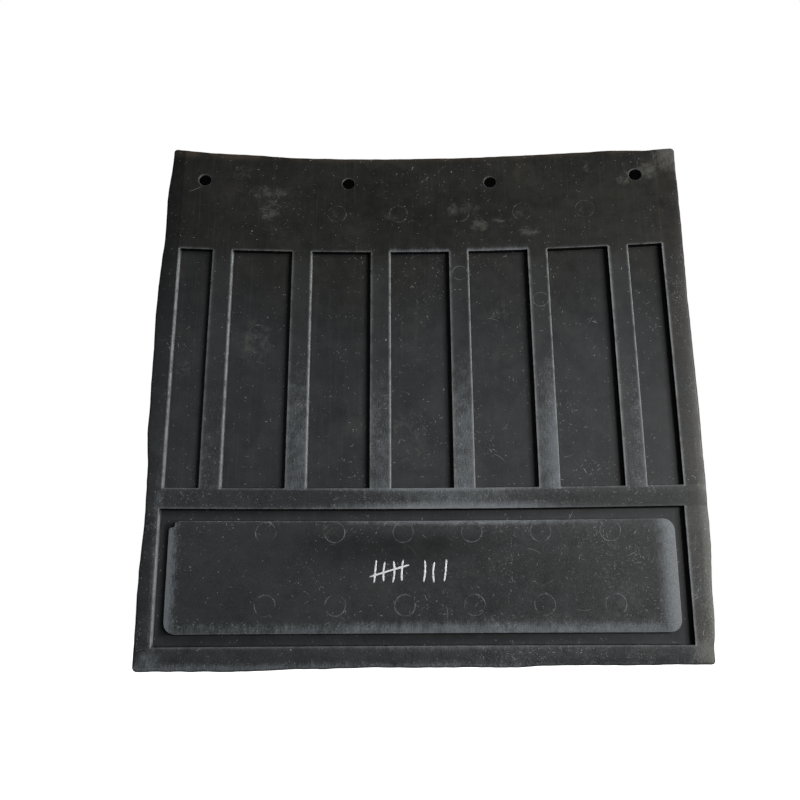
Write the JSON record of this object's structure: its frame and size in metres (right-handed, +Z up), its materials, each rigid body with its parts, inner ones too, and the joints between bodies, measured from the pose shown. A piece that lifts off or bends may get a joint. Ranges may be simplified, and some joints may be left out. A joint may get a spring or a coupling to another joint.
{
  "type": "mud flap",
  "caption": "Square moulded rubber mud flap with a plain bolt-up head band, ribbed upper field, cross bar and a raised plain pad in a framed tray.",
  "frame": {"origin": "middle of the bolt row on the flat back face, where the flap is clamped to its bracket", "axes": "+Z up as the flap hangs, +X along the bolt row, -Y out of the ribbed front face, +Y out of the flat back face"},
  "size_m": [0.5, 0.009, 0.5],
  "materials": {
    "moulded_rubber": "matte moulded rubber with pale bloom",
    "pad_rubber": "matte moulded rubber, slightly polished, pale bloom at the edges"
  },
  "bodies": {
    "head": {"head_band": "moulded_rubber"},
    "rib_panel": {"upper_web": "moulded_rubber", "rib_1": "moulded_rubber", "rib_2": "moulded_rubber", "rib_3": "moulded_rubber", "rib_4": "moulded_rubber", "rib_5": "moulded_rubber", "rib_6": "moulded_rubber", "upper_rail_left": "moulded_rubber", "upper_rail_right": "moulded_rubber"},
    "lower_panel": {"lower_web": "moulded_rubber", "cross_bar": "moulded_rubber", "lower_rail_left": "moulded_rubber", "lower_rail_right": "moulded_rubber", "bottom_rail": "moulded_rubber", "raised_pad": "pad_rubber"}
  },
  "joints": [
    {"name": "upper_bend", "type": "hinge", "parent": "head", "child": "rib_panel", "pos_m": [0, -0.0045, -0.077], "axis": [1, 0, 0], "range_deg": [-60, 45], "stiffness_Nm_per_rad": 1.5},
    {"name": "lower_bend", "type": "hinge", "parent": "rib_panel", "child": "lower_panel", "pos_m": [0, -0.0045, -0.3125], "axis": [1, 0, 0], "range_deg": [-45, 45], "stiffness_Nm_per_rad": 1.2}
  ]
}
